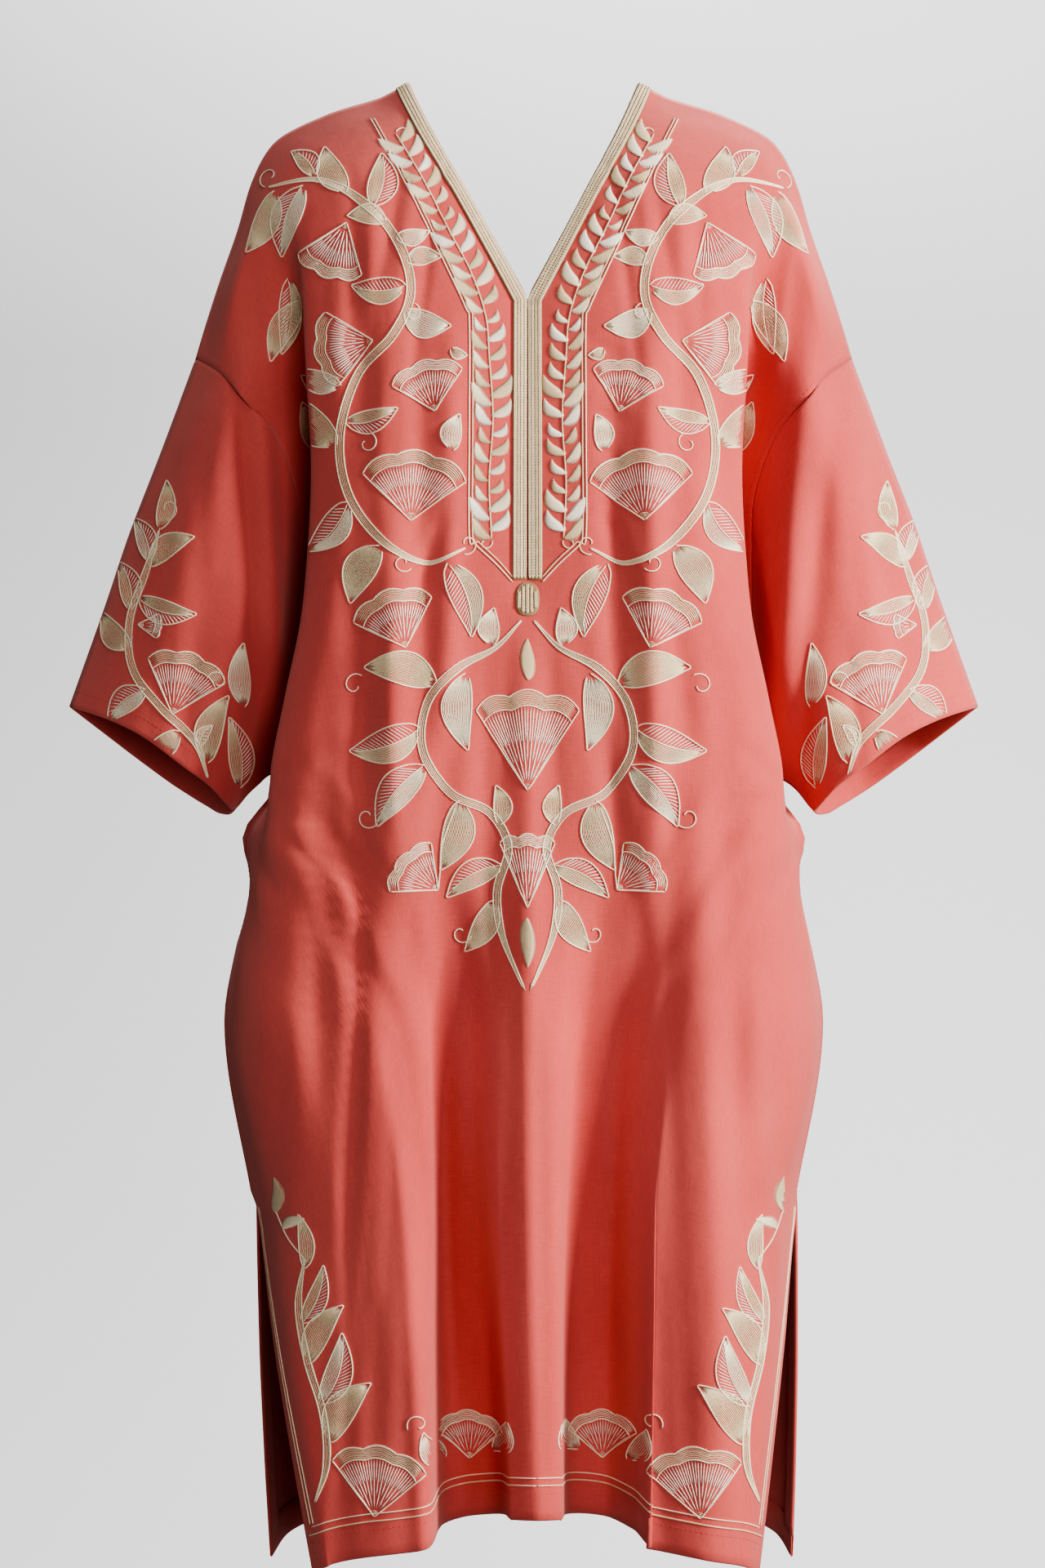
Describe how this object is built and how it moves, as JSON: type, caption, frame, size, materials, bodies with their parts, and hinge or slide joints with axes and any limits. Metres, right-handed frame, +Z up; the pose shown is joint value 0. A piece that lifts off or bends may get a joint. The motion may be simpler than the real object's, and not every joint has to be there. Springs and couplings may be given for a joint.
{
  "type": "kaftan",
  "caption": "Worn-form kaftan with a braided V neck and slit, wide dropped sleeves, side slits and deep skirt folds, hollow inside",
  "frame": {"origin": "midway between the two points where the neckline crosses the shoulders, where the wearer's shoulders hold it", "axes": "+Z up, the longest way; the front faces -Y, the shortest way; +X towards the wearer's left sleeve"},
  "size_m": [0.758, 0.2846, 1.237],
  "materials": {
    "cloth": "matt plain weave with a soft nap, coral",
    "braid": "corded braid and thread, beige with a faint silk lustre"
  },
  "bodies": {
    "root": {"front_panel": "cloth", "back_panel": "cloth", "sleeve_right": "cloth", "sleeve_left": "cloth", "neck_braid_right": "braid", "neck_braid_left": "braid", "neck_braid_back": "braid", "placket_tab": "braid"}
  },
  "joints": []
}
